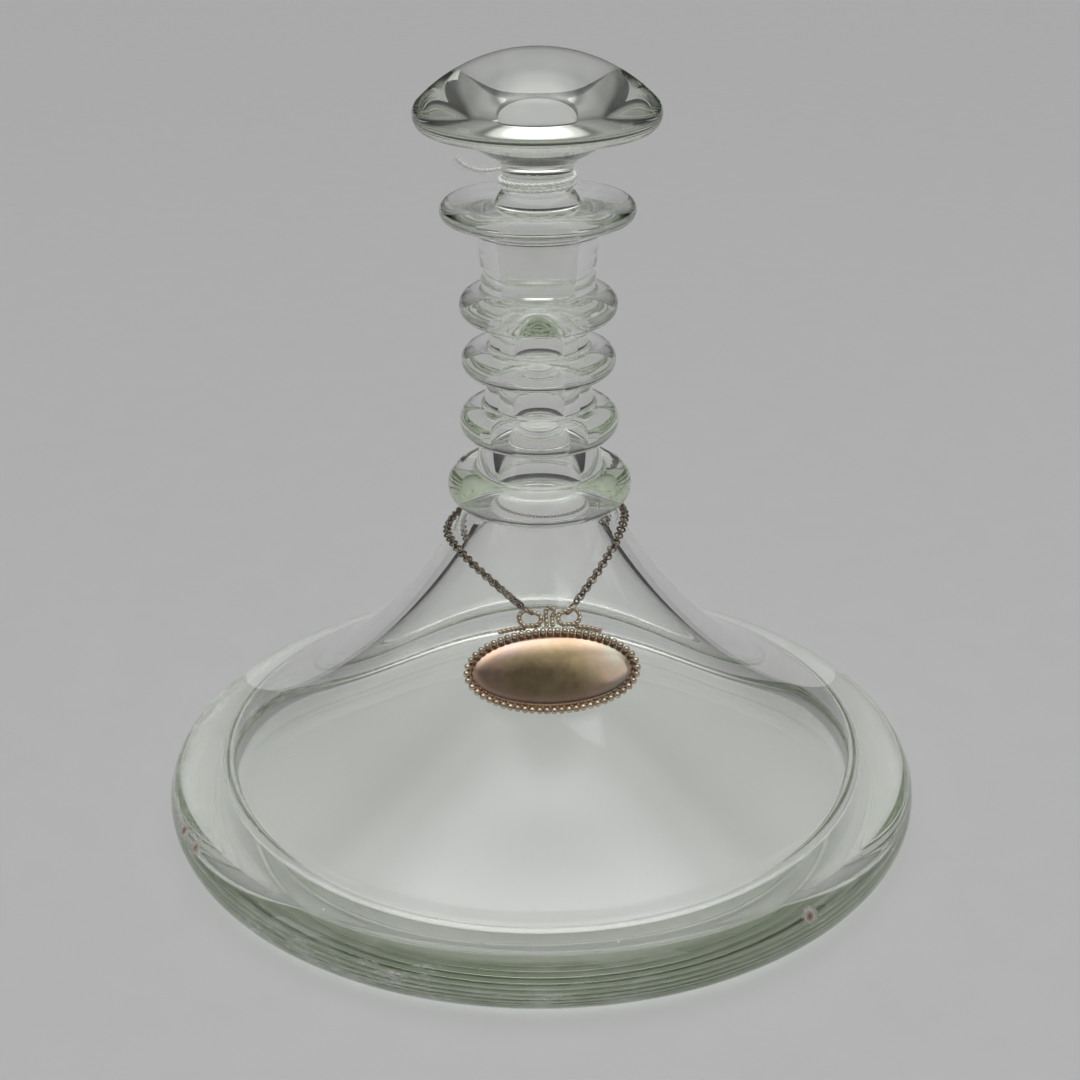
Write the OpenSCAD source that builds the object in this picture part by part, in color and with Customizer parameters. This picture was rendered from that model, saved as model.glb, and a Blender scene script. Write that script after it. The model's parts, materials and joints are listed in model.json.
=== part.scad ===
// Ships decanter: a broad blown vessel with applied rings on its neck, a mushroom stopper
// ground to fit, and an oval wine label that hangs on a chain under the lowest ring.
// Millimetres, +Z up, standing on Z = 0 with the vessel's axis on Z and the label in front at -Y.

/* [Vessel] */
// Diameter of the base across its round edge
base_d = 210; // [190:1:230]
// Radius of the base's round edge
edge_r = 8.4; // [7:0.1:10]
// Radius of the hollow curve of the flank
flank_r = 150; // [140:1:180]
// Outer radius of the neck where the flank begins
root_r = 18.4; // [17.6:0.1:19.4]
// Height at which the flank begins
root_z = 92.4; // [86:0.2:98]
// Thickness of the wall where the flank begins
wall = 10; // [8:0.1:11]
// Radius of the hollow curve inside the flank
inner_flank_r = 200; // [180:1:240]
// Radius of the bowl inside, where it is widest
bowl_r = 64; // [60:0.5:67]
// Thickness of the solid base under the bowl
base_t = 12; // [10:0.1:14]
// Radius of the bowl's round lower edge
fold_r = 8.5; // [7:0.1:9.5]

/* [Neck and lip] */
// Height of the neck from the flank to the middle of the lip
neck_h = 77.5; // [72:0.1:84]
// Outer radius of the neck inside the lower ring
neck_lower_r = 14.9; // [14.4:0.1:15.4]
// Outer radius of the neck inside the middle ring
neck_middle_r = 13.2; // [12.9:0.1:13.6]
// Outer radius of the neck just under the upper ring
neck_upper_r = 12.8; // [12.5:0.1:13.2]
// Outer radius of the neck just over the upper ring
socket_wall_r = 14.6; // [14.2:0.1:15]
// Outer radius of the neck under the lip
neck_top_r = 15.3; // [15:0.1:16]
// Radius of the lip
lip_r = 24.9; // [22:0.1:27]
// Radius of the lip's round edge
lip_edge_r = 2.9; // [2.2:0.1:3.4]
// Depth of the dish in the top of the lip
lip_dish = 1; // [0.4:0.1:1.5]

/* [Rings] */
// Height of the collar's middle over the start of the flank
collar_up = 3.6; // [3:0.1:5]
// Outer radius of the collar
collar_r = 24.6; // [23.4:0.1:25.4]
// Radius of the collar's section
collar_tube_r = 5; // [4.6:0.1:5.4]
// Height of the lower ring's middle over the start of the flank
lower_up = 21.6; // [20:0.1:23]
// Outer radius of the lower ring
lower_r = 21; // [20:0.1:22]
// Radius of the lower ring's section
lower_tube_r = 4.8; // [4.2:0.1:5]
// Height of the middle ring's middle over the start of the flank
middle_up = 38.3; // [37:0.1:39.5]
// Outer radius of the middle ring
middle_r = 20.2; // [19.4:0.1:21]
// Radius of the middle ring's section
middle_tube_r = 4.1; // [3.8:0.1:4.6]
// Height of the upper ring's middle over the start of the flank
upper_up = 52.9; // [52:0.1:54]
// Outer radius of the upper ring
upper_r = 20.5; // [19.8:0.1:21.4]
// Radius of the upper ring's section
upper_tube_r = 4.2; // [3.8:0.1:4.6]

/* [Stopper] */
// Radius of the ground socket at its mouth
socket_r = 11; // [10.6:0.1:11.4]
// Taper of the socket, radius per millimetre of depth
socket_taper = 0.045; // [0.03:0.005:0.06]
// Length of the plug in the socket
plug_l = 26; // [22:0.5:28]
// Clearance between the plug and its socket
plug_fit = 0.08; // [0.04:0.01:0.1]
// Radius of the bore below the socket
bore_r = 6.6; // [6:0.1:7.4]
// Radius of the bore inside the lower ring
bore_low_r = 7; // [6.8:0.1:8]
// Height of the slope from the bore up to the socket
bore_step = 2.5; // [1.5:0.1:3.5]
// Radius of the stopper's waist
waist_r = 8.8; // [8:0.1:9.4]
// Height of the plain waist over the plug's shoulder
waist_h = 4; // [3.6:0.1:6]
// Radius of the plug's round shoulder
shoulder_r = 5; // [4:0.1:6]
// Radius of the hollow curve from the waist to the head
throat_r = 5; // [4:0.1:6]
// Radius of the stopper's head
head_r = 31; // [28:0.1:33]
// Radius of the head's round edge
head_edge_r = 4.5; // [3.5:0.1:5.5]
// Height of the middle of the head's edge over the lip's top
head_up = 21.2; // [19:0.1:23]
// Height of the dome over the middle of the head's edge
dome_h = 15.5; // [13:0.1:18]

/* [Thread] */
// Diameter of the cotton thread round the stopper's waist
thread_d = 1; // [0.8:0.05:1.1]
// Rise of the thread in one turn round the waist
thread_rise = 1.55; // [1.5:0.01:1.6]
// Clearance between the thread and the waist
thread_gap = 0.15; // [0.1:0.05:0.3]
// Height of the thread's first turn over the plug's shoulder
thread_up = 0.8; // [0.7:0.05:1]

/* [Label] */
// Width of the label over its beads
label_w = 45.4; // [42:0.1:48]
// Height of the label over its beads
label_h = 22.4; // [20:0.1:24]
// Radius of the vessel's axis to the label's lower edge
label_low_r = 47.6; // [46:0.1:52]
// Clearance between the label and the flank
label_gap = 0.35; // [0.3:0.05:0.6]
// Thickness of the label's flange
flange_t = 0.9; // [0.7:0.05:1.1]
// Thickness of the label's sheet in its dome
sheet_t = 0.8; // [0.6:0.05:1]
// Height of the dome over the flange
label_dome_h = 2; // [1.2:0.1:2.4]
// Width of the flat flange round the dome
flange_w = 2.5; // [2.4:0.05:3]
// Number of beads in the border
bead_count = 56; // [48:1:58]
// Diameter of a bead
bead_d = 1.7; // [1.4:0.05:1.74]

/* [Bow] */
// Diameter of the rope wire
rope_d = 1.35; // [1.2:0.05:1.4]
// Width of one loop of the bow
loop_w = 7; // [6.4:0.1:7.4]
// Height of one loop of the bow
loop_h = 5.4; // [5.2:0.1:5.6]
// Distance from the middle of the bow to the middle of a loop
loop_x = 5; // [4.9:0.05:5.4]
// Height of the bow's middle plane over the label's back
bow_w = 1.6; // [1.5:0.05:1.7]
// Reach of each tail of the bow along the border
tail_x = 12.8; // [10:0.1:14]
// Clearance between the pieces of the bow
bow_gap = 0.05; // [0.02:0.01:0.1]

/* [Chain] */
// Diameter of the chain's wire
wire_d = 0.56; // [0.46:0.02:0.58]
// Outer diameter of a link
link_d = 2.6; // [2.5:0.05:2.8]
// Clearance between the chain and the glass
chain_gap = 0.35; // [0.2:0.05:0.6]
// Radius of the chain's path behind the neck
chain_r = 24; // [23.4:0.1:24.4]
// Angle from the front at which each strand leaves the neck
leave_angle = 80; // [70:1:84]
// Diameter of the jump rings' wire
ring_wire_d = 0.54; // [0.48:0.02:0.6]
// Outer diameter of a jump ring
ring_d = 4.4; // [4.2:0.1:4.6]
// Distance from the middle of the bow to a jump ring
ring_x = 5.8; // [5.6:0.05:6]
// Lift of a jump ring's middle over the loop's wire
ring_lift = 0.15; // [0.1:0.05:0.2]
// Roll of a jump ring about its strand
ring_roll = 22; // [20:1:24]

/* [Hidden] */
$fn = 96;

glass = [0.80, 0.85, 0.82, 0.45];
ground_glass = [0.84, 0.87, 0.85, 0.60];
gilt = [0.60, 0.51, 0.42];
rope_gilt = [0.58, 0.50, 0.40];
dark_silver = [0.35, 0.32, 0.28];
cotton = [0.93, 0.93, 0.91];

// Number of flat steps in a quarter turn of a small round edge, and in the long flank
edge_steps = 8;
flank_steps = 18;

// Points on an arc, in degrees, and the centre of a circle at given distances from two points
function on_circle(c, r, a) = c + r * [cos(a), sin(a)];
function arc(c, r, a0, a1, n) = [for (i = [0:n]) on_circle(c, r, a0 + (a1 - a0) * i / n)];
function angle_of(v) = atan2(v[1], v[0]);
function unit(v) = v / norm(v);
function centre_from(a, ra, b, rb) =
    let (d = norm(b - a),
         u = (b - a) / d,
         along = (ra * ra - rb * rb + d * d) / (2 * d),
         across = sqrt(ra * ra - along * along))
    a + along * u + across * [-u[1], u[0]];

// Flank: one hollow arc from the neck that runs into the round edge of the base
root = [root_r, root_z];
edge_c = [base_d / 2 - edge_r, edge_r];
flank_c = centre_from(root, flank_r, edge_c, flank_r + edge_r);
flank_a0 = angle_of(root - flank_c);
flank_a1 = angle_of(edge_c - flank_c);
flank = arc(flank_c, flank_r, flank_a0, flank_a1, flank_steps);
edge = arc(edge_c, edge_r, flank_a1 + 180, -90, 2 * edge_steps);

// Inside of the bowl: a flatter arc from the neck that runs into the bowl's round lower edge
inner_root = root + wall * unit(root - flank_c);
fold_c = [bowl_r - fold_r, base_t + fold_r];
inner_c = centre_from(inner_root, inner_flank_r, fold_c, inner_flank_r + fold_r);
inner_a0 = angle_of(inner_root - inner_c);
inner_a1 = angle_of(fold_c - inner_c);
inner_flank = arc(inner_c, inner_flank_r, inner_a1, inner_a0, flank_steps);
fold = arc(fold_c, fold_r, -90, inner_a1 + 180, 2 * edge_steps);

// Heights on the neck
collar_z = root_z + collar_up;
lower_z = root_z + lower_up;
middle_z = root_z + middle_up;
upper_z = root_z + upper_up;
lip_z = root_z + neck_h;
lip_top = lip_z + lip_edge_r;
mouth_z = lip_top - lip_dish;
neck_step = 1;
lip_slope = 2.4;

// Socket and plug share one cone: radius at a height, and where the plug ends
function socket_at(z) = socket_r - (mouth_z - z) * socket_taper;
plug_z = mouth_z - plug_l;
plug_end_gap = 1;
plug_chamfer = 0.8;
socket_z = plug_z - plug_end_gap;
mouth_round = 0.9;

neck_outside = [
    [neck_top_r, lip_z - lip_edge_r - lip_slope],
    [socket_wall_r, upper_z + neck_step],
    [neck_upper_r, upper_z - neck_step],
    [neck_middle_r, middle_z],
    [neck_lower_r, lower_z]
];
neck_inside = [
    [bore_low_r, lower_z],
    [bore_r, middle_z],
    [bore_r, socket_z - bore_step],
    [socket_at(socket_z), socket_z],
    [socket_r, mouth_z - mouth_round]
];
lip_c = [lip_r - lip_edge_r, lip_z];
lip_edge = arc(lip_c, lip_edge_r, 90, -90, 2 * edge_steps);
mouth = arc([socket_r + mouth_round, mouth_z - mouth_round], mouth_round, 180, 90, edge_steps / 2);
outside = concat(lip_edge, neck_outside, flank, edge);
inside = concat([[0, base_t]], fold, inner_flank, neck_inside, mouth);

module vessel() {
    color(glass) rotate_extrude() polygon(concat(outside, [[0, 0]], inside));
}

// Applied ring: a round section seated on the outside of the neck
module ring_on_neck(z, r, tube_r) {
    color(glass) rotate_extrude() difference() {
        translate([r - tube_r, z]) circle(tube_r);
        polygon(concat([[0, lip_z]], outside, [[0, 0]]));
    }
}
module collar_ring() { ring_on_neck(collar_z, collar_r, collar_tube_r); }
module neck_ring_lower() { ring_on_neck(lower_z, lower_r, lower_tube_r); }
module neck_ring_middle() { ring_on_neck(middle_z, middle_r, middle_tube_r); }
module neck_ring_upper() { ring_on_neck(upper_z, upper_r, upper_tube_r); }

// Stopper: plug, round shoulder, waist, hollow throat, and a domed head with a round edge
function plug_at(z) = socket_at(z) - plug_fit;
plug_top_z = mouth_z - mouth_round;
plug_top_r = plug_at(plug_top_z);
shoulder_c = [plug_top_r - shoulder_r, plug_top_z];
shoulder_a = acos((waist_r - shoulder_c[0]) / shoulder_r);
waist_z = plug_top_z + shoulder_r * sin(shoulder_a);
throat_c = [waist_r + throat_r, waist_z + waist_h];
head_c = [head_r - head_edge_r, lip_top + head_up];
dome_top = head_c[1] + dome_h;
dome_reach = dome_top - head_edge_r;
dome_z = (dome_reach * dome_reach - head_c[0] * head_c[0] - head_c[1] * head_c[1])
         / (2 * (dome_reach - head_c[1]));
dome_r = dome_top - dome_z;
dome_a = atan2(head_c[1] - dome_z, head_c[0]);
under_a = -108;
throat_a = 112;
plug = [
    [0, plug_z],
    [plug_at(plug_z) - plug_chamfer, plug_z],
    [plug_at(plug_z + plug_chamfer), plug_z + plug_chamfer]
];
shoulder = arc(shoulder_c, shoulder_r, 0, shoulder_a, edge_steps);
throat = arc(throat_c, throat_r, 180, throat_a, edge_steps);
head_edge = arc(head_c, head_edge_r, under_a, dome_a, 2 * edge_steps);
dome = arc([0, dome_z], dome_r, dome_a, 90, flank_steps);

module stopper() {
    color(ground_glass) rotate_extrude() polygon(concat(plug, shoulder, throat, head_edge, dome));
}

// Tube of triangles swept along points; its rings stand square to the path
function heading(p, i) = unit(p[min(i + 1, len(p) - 1)] - p[max(i - 1, 0)]);
function tube_ring(c, t, r, sides) =
    let (side = unit(cross(t, abs(t[2]) > 0.9 ? [0, 1, 0] : [0, 0, 1])),
         rise = cross(side, t))
    [for (k = [0:sides - 1]) c + r * (side * cos(360 * k / sides) + rise * sin(360 * k / sides))];
module tube(points, d, sides) {
    n = len(points);
    corners = [for (i = [0:n - 1]) each tube_ring(points[i], heading(points, i), d / 2, sides)];
    wallside = [for (i = [0:n - 2], k = [0:sides - 1])
        let (a = i * sides + k, b = i * sides + (k + 1) % sides)
        each [[a, a + sides, b], [b, a + sides, b + sides]]];
    caps = [for (k = [1:sides - 2]) each [[0, k, k + 1],
        [(n - 1) * sides, (n - 1) * sides + k + 1, (n - 1) * sides + k]]];
    polyhedron(points = corners, faces = concat(wallside, caps));
}

// Thread: two turns up the waist, then a short tail that stands off to the left
thread_turns = 2;
loop_rings = 24;
thread_sides = 6;
thread_z = waist_z + thread_up;
thread_r = waist_r + thread_gap + thread_d / 2;
thread_start = 100;
tail_leave = 0.82;
tail_end = [-19.8, -3.2, 4.2];
tail_low = [-15.2, -4.4, 0.2];
tail_rings = 12;
function turn_point(u) =
    let (a = thread_start + 360 * u)
    [thread_r * cos(a), thread_r * sin(a), thread_z + thread_rise * u];
winding = [for (i = [0:thread_turns * loop_rings + 1]) turn_point(i / loop_rings)];
tail_u = thread_turns + 1 / loop_rings;
tail_from = turn_point(tail_u);
tail_a = thread_start + 360 * tail_u;
tail_dir = unit([-thread_r * sin(tail_a), thread_r * cos(tail_a), thread_rise / (2 * PI)]);
tail_mid = tail_from + tail_leave * thread_r * tail_dir;
function bezier(a, b, c, d, t) =
    pow(1 - t, 3) * a + 3 * pow(1 - t, 2) * t * b + 3 * (1 - t) * t * t * c + pow(t, 3) * d;
thread_top = [0, 0, tail_from[2]];
tail = [for (i = [1:tail_rings])
    bezier(tail_from, tail_mid, thread_top + tail_low, thread_top + tail_end, i / tail_rings)];
thread_stub = tail[tail_rings - 1] + thread_d * unit(tail[tail_rings - 1] - tail[tail_rings - 2]);
thread_path = concat(winding, tail, [thread_stub]);
// Least gap between stretches of the thread that are more than a quarter turn apart
thread_self_gap = min([for (i = [0:len(thread_path) - 1])
    for (j = [i + loop_rings / 4:1:len(thread_path) - 1])
        norm(thread_path[i] - thread_path[j])]) - thread_d;
echo(thread_self_gap = thread_self_gap);

module stopper_thread() {
    color(cotton) tube(thread_path, thread_d, thread_sides);
}

// Label frame: X to the right, Y up the flank, Z out of the glass, from the label's lower edge
label_arc_r = flank_r - label_gap;
bow_top = label_h + bow_gap + loop_h;
low_a = -acos((label_low_r - flank_c[0]) / label_arc_r);
high_a = low_a - 2 * asin(bow_top / 2 / label_arc_r);
label_low = on_circle(flank_c, label_arc_r, low_a);
label_high = on_circle(flank_c, label_arc_r, high_a);
label_tilt = 180 - angle_of(label_high - label_low);
function on_label(p) = [
    p[0],
    -label_low[0] + p[1] * cos(label_tilt) - p[2] * sin(label_tilt),
    label_low[1] + p[1] * sin(label_tilt) + p[2] * cos(label_tilt)
];
module place_label() {
    translate([0, -label_low[0], label_low[1]]) rotate([label_tilt, 0, 0]) children();
}

// Oval outlines: half the width and height, drawn in by an inset
oval_steps = 72;
function oval_point(inset, a) =
    [(label_w / 2 - inset) * cos(a), label_h / 2 + (label_h / 2 - inset) * sin(a)];
function oval(inset) = [for (i = [0:oval_steps - 1]) oval_point(inset, 360 * i / oval_steps)];

// Domed sheet: an oval cap over a flange, hollow behind
cap_steps = 6;
function cap_ring(grow, h, a) = [for (i = [0:oval_steps / 2 - 1])
    let (p = oval_point(flange_w + grow, 720 * i / oval_steps),
         m = [0, label_h / 2])
    concat(m + (p - m) * cos(a), h * sin(a))];
module cap(grow, h, foot) {
    sides = oval_steps / 2;
    rings = concat([[for (p = cap_ring(grow, h, 0)) [p[0], p[1], -foot]]],
                   [for (j = [0:cap_steps - 1]) cap_ring(grow, h, 90 * j / cap_steps)]);
    corners = concat([for (r = rings) each r], [[0, label_h / 2, h], [0, label_h / 2, -foot]]);
    top = len(corners) - 2;
    last = len(rings) - 1;
    walls = [for (j = [0:last - 1], k = [0:sides - 1])
        let (a = j * sides + k, b = j * sides + (k + 1) % sides)
        each [[a, a + sides, b], [b, a + sides, b + sides]]];
    crown = [for (k = [0:sides - 1]) [last * sides + k, top, last * sides + (k + 1) % sides]];
    floor_faces = [for (k = [0:sides - 1]) [k, (k + 1) % sides, top + 1]];
    polyhedron(points = corners, faces = concat(walls, crown, floor_faces));
}
bead_inset = bead_d / 2;
bead_cover = 0.1;
flange_inset = bead_inset - bead_cover;
module label_plate() {
    color(gilt) place_label() difference() {
        union() {
            linear_extrude(flange_t) polygon(oval(flange_inset));
            translate([0, 0, flange_t]) cap(0, label_dome_h, flange_t / 2);
        }
        cap(sheet_t, flange_t + label_dome_h - sheet_t, flange_t);
    }
}

// Bead border: round beads at even steps along the oval, seated on the flange
function oval_length(a) = lookup(a, oval_table);
oval_table = [for (i = 0, s = 0; i <= 360;
    s = s + norm(oval_point(bead_inset, i + 1) - oval_point(bead_inset, i)), i = i + 1) [s, i]];
bead_line = oval_table[360][0];
module bead_border() {
    color(rope_gilt) place_label() for (i = [0:bead_count - 1]) {
        p = oval_point(bead_inset, oval_length(bead_line * i / bead_count));
        translate([p[0], p[1], flange_t + bow_gap + bead_d / 2]) sphere(d = bead_d);
    }
}

// Bow of rope wire over the border: two loops, a knot between them and a tail beside each loop
tail_y = label_h + bow_gap + rope_d / 2;
loop_low = tail_y;
loop_bend = (loop_h - rope_d) / 2;
loop_run = loop_w - loop_h;
loop_y = loop_low + loop_bend;
hinge_y = loop_y + loop_bend;
echo(hinge = on_label([0, hinge_y, bow_w]));
module bow_loop(side) {
    color(rope_gilt) place_label() translate([side * loop_x, loop_y, bow_w]) {
        for (end = [-1, 1]) translate([end * loop_run / 2, 0, 0])
            rotate([0, 0, end * 90 - 180]) rotate_extrude(angle = 180)
                translate([loop_bend, 0]) circle(d = rope_d);
        for (rise = [-1, 1]) translate([-loop_run / 2, rise * loop_bend, 0])
            rotate([0, 90, 0]) cylinder(d = rope_d, h = loop_run);
    }
}
module bow_loop_left() { bow_loop(-1); }
module bow_loop_right() { bow_loop(1); }

// Knot: two rope strands that rise from the border, lean apart and curl over at the top
knot_sides = 8;
knot_foot = 0.72;
knot_stem = 1;
knot_curl = 0.9;
knot_over = 0.2;
knot_turn = 120;
knot_steps = 6;
knot_spread = 0.3;
knot_lift = 0.8;
knot_low = loop_low;
knot_high = hinge_y - knot_curl + knot_over;
function knot_point(side, a) =
    let (bend = knot_curl * (1 - cos(a)))
    [side * (knot_foot + knot_spread * bend), knot_high + knot_curl * sin(a), bow_w + knot_lift * bend];
function knot_path(side) = concat(
    [[side * knot_foot, knot_low - rope_d / 4, bow_w], [side * knot_foot, knot_low + knot_stem, bow_w]],
    [for (i = [0:knot_steps]) knot_point(side, knot_turn * i / knot_steps)]);
module bow_knot() {
    color(rope_gilt) place_label() for (side = [-1, 1]) tube(knot_path(side), rope_d, knot_sides);
}

// Tails: rope wire that lies along the outside of the border's top
tail_steps = 10;
function tail_point(side, x) =
    let (a = acos(x / (label_w / 2)), p = oval_point(0, a), n = unit([cos(a) / label_w, sin(a) / label_h]))
    [side * (p[0] + n[0] * (rope_d / 2 + bow_gap)), p[1] + n[1] * (rope_d / 2 + bow_gap), bow_w];
bow_tail_from = 8.3;
module bow_tails() {
    color(rope_gilt) place_label() for (side = [-1, 1])
        tube([for (i = [0:tail_steps]) tail_point(side, bow_tail_from + (tail_x - bow_tail_from) * i / tail_steps)],
            rope_d, knot_sides);
}

// Chain path, angle from the front: round behind the neck, then down each side to the jump rings
ring_local = [ring_x, hinge_y + ring_lift, bow_w];
ring_at = on_label(ring_local);
ring_psi = atan2(ring_at[0], -ring_at[1]);
ring_out = norm([ring_at[0], ring_at[1]]);
link_roll = 45;
chain_stand = (link_d - wire_d) / 2 * sin(link_roll) + wire_d / 2 + chain_gap;
chain_arc_r = flank_r - chain_stand;
function arc_height(r) = flank_c[1] - sqrt(pow(chain_arc_r, 2) - pow(flank_c[0] - r, 2));
strand_bend = acos(chain_r / ring_out) / (leave_angle - ring_psi);
strand_rise = ring_at[2] - arc_height(ring_out);
function path_out(psi) = psi > leave_angle ? chain_r : chain_r / cos(strand_bend * (leave_angle - psi));
function path_lift(psi) =
    psi > leave_angle ? 0 : strand_rise * pow((leave_angle - psi) / (leave_angle - ring_psi), 2);
function path_point(psi, side) =
    let (r = path_out(psi))
    [side * r * sin(psi), -r * cos(psi), arc_height(r) + path_lift(psi)];

// Links at even steps: a table of length against angle, read from behind the neck to the ring.
// The pitch lies halfway between links that touch their neighbours and links that pull taut.
link_pitch = 0.75 * link_d - wire_d;
path_steps = 240;
path_step = (180 - ring_psi) / path_steps;
path_table = [for (i = 0, s = 0; i <= path_steps;
    s = s + norm(path_point(180 - path_step * (i + 1), 1) - path_point(180 - path_step * i, 1)), i = i + 1)
    [s, 180 - path_step * i]];
path_length = path_table[path_steps][0];
ring_reach = (ring_d - ring_wire_d) / 2 + (link_d - wire_d) / 2 - link_pitch / 2;
half_links = round((path_length - ring_reach) / link_pitch / 2) * 2;
link_step = (path_length - ring_reach) / half_links;
front_share = 0.58;
front_from = ceil(half_links * front_share);
echo(links = 2 * half_links + 1, link_step = link_step, chain_length = 2 * path_length);
function link_psi(i) = lookup(i * link_step, path_table);

// Places a ring in the plane square to the glass's normal, rolled about the path
module along_path(p, ahead, out, roll) {
    t = unit(ahead);
    b = unit(cross(out, t));
    n = cross(t, b);
    m = n * cos(roll) + b * sin(roll);
    k = cross(m, t);
    multmatrix([[t[0], k[0], m[0], p[0]], [t[1], k[1], m[1], p[1]], [t[2], k[2], m[2], p[2]], [0, 0, 0, 1]])
        children();
}
module wire_ring(outer_d, d) {
    rotate_extrude() translate([(outer_d - d) / 2, 0]) circle(d = d);
}
module link(i, side) {
    psi = link_psi(i);
    p = path_point(psi, side);
    ahead = path_point(psi - path_step, side) - path_point(psi + path_step, side);
    r = norm([p[0], p[1]]);
    out = unit([(flank_c[0] - r) * p[0] / r, (flank_c[0] - r) * p[1] / r, flank_c[1] - p[2]]);
    along_path(p, ahead, out, side * (i % 2 == 0 ? link_roll : -link_roll)) wire_ring(link_d, wire_d);
}
module strand(side) {
    color(dark_silver) for (i = [front_from:half_links]) link(i, side);
}
module chain_left() { strand(-1); }
module chain_right() { strand(1); }
module chain_back() {
    color(dark_silver) {
        link(0, 1);
        for (i = [1:front_from - 1], side = [-1, 1]) link(i, side);
    }
}

// Jump rings: each holds the last link of its strand and the top wire of a loop
module jump_ring(side) {
    p = [side * ring_at[0], ring_at[1], ring_at[2]];
    before = path_point(link_psi(half_links), side);
    out = [0, -sin(label_tilt), cos(label_tilt)];
    roll = side * (ring_roll - 90);
    color(dark_silver) along_path(p, p - before, out, roll) wire_ring(ring_d, ring_wire_d);
}
module jump_ring_left() { jump_ring(-1); }
module jump_ring_right() { jump_ring(1); }

vessel();
collar_ring();
neck_ring_lower();
neck_ring_middle();
neck_ring_upper();
stopper();
stopper_thread();
label_plate();
bead_border();
bow_loop_left();
bow_loop_right();
bow_knot();
bow_tails();
jump_ring_left();
jump_ring_right();
chain_left();
chain_right();
chain_back();
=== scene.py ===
"""Ships decanter: a glass vessel with a ringed neck, its stopper and thread, and a label on a chain.

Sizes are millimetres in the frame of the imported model, and become metres when a mesh is made.
"""

import json
import math
import random

import bpy
import numpy as np
from mathutils import Euler, Matrix, Vector, noise

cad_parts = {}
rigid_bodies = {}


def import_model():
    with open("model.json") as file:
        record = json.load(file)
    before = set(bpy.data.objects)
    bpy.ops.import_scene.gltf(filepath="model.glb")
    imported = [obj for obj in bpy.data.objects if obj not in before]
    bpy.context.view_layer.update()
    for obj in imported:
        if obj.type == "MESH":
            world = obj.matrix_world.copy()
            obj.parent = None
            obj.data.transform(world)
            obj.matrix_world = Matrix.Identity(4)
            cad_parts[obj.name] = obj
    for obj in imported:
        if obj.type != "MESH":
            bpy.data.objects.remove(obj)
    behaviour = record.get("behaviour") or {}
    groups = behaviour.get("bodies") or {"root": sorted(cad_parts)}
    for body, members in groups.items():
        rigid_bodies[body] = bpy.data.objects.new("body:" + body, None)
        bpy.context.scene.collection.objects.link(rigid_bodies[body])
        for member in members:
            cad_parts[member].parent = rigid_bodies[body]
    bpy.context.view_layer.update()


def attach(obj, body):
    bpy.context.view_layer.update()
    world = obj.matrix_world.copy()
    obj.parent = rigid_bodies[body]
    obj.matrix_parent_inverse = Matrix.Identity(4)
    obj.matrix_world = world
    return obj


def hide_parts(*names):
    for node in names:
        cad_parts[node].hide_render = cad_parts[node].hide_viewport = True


for stray in list(bpy.data.objects):
    bpy.data.objects.remove(stray)
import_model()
MM = 0.001

# Vessel
BASE_R, EDGE_R = 105.0, 8.4
FLANK_R = 150.0
ROOT = np.array([18.4, 92.4])
WALL, INNER_FLANK_R = 5.5, 157.0
BOWL_R, BASE_T, FOLD_R = 88.0, 8.0, 5.0

# Neck, lip and rings: each ring has its height, outer radius, section radius and the neck over and under it
LIP_Z, LIP_R, LIP_EDGE_R, LIP_DISH = 169.9, 24.9, 2.9, 1.0
NECK_TOP_R = 15.3
RINGS = [(145.3, 20.5, 4.2, 14.6, 12.8), (130.7, 20.2, 4.1, 12.9, 13.4), (114.0, 21.0, 4.8, 14.5, 15.5)]
COLLAR_Z, COLLAR_R, COLLAR_TUBE_R, COLLAR_NECK_R = 96.0, 24.6, 5.0, 16.9
RING_FILLET, COLLAR_FILLET = 0.9, 0.6
BORE_R, BORE_LOW_R, BORE_STEP = 6.6, 7.0, 2.5

# Socket and stopper
SOCKET_R, SOCKET_TAPER, PLUG_L, PLUG_FIT = 11.0, 0.045, 26.0, 0.08
MOUTH_ROUND = 0.9
WAIST_R, WAIST_H, SHOULDER_R, THROAT_R = 8.8, 4.0, 5.0, 5.0
HEAD_R, HEAD_EDGE_R, HEAD_UP, DOME_H = 31.0, 4.5, 21.2, 15.5

# Thread round the stopper's waist
THREAD_D, THREAD_RISE, THREAD_GAP, THREAD_UP = 1.0, 1.55, 0.15, 0.8
THREAD_TURNS, THREAD_START = 2, 100.0
TAIL_LEAVE = 0.82
TAIL_LOW, TAIL_END = np.array([-15.2, -4.4, 0.2]), np.array([-19.8, -3.2, 4.2])

# Label, border and bow
LABEL_W, LABEL_H, LABEL_LOW_R, LABEL_GAP = 45.4, 22.4, 47.6, 0.35
FLANGE_T, SHEET_T, LABEL_DOME_H, FLANGE_W, DOME_INSET = 0.9, 0.8, 2.0, 2.5, 1.85
BEAD_COUNT, BEAD_D, BEAD_COVER, BEAD_FULL = 56, 1.7, 0.1, 1.08
ROPE_D, LOOP_W, LOOP_H, LOOP_X, BOW_Z, BOW_GAP = 1.35, 7.0, 5.4, 5.0, 1.6, 0.05
TAIL_FROM, TAIL_X, TAIL_LIFT, TAIL_TUCK = 6.3, 12.8, 0.6, 0.6
LABEL_MIDDLE_Z = 61.0

# Chain
WIRE_D, LINK_D, CHAIN_GAP, CHAIN_R, LEAVE_ANGLE = 0.56, 2.6, 0.35, 24.0, 80.0
RING_WIRE_D, RING_D, RING_X, RING_LIFT, RING_ROLL = 0.54, 4.4, 5.8, 0.15, 22.0
LINK_ROLL = 45.0
CHAIN_LEAN = 1.1
FRONT_SHARE = 0.58

# Glass: how it bends light, and the colour and strength of the tint in its depth
GLASS_IOR, GLASS_TINT, GLASS_DENSITY = 1.52, (0.50, 0.60, 0.38, 1), 6.0

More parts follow.
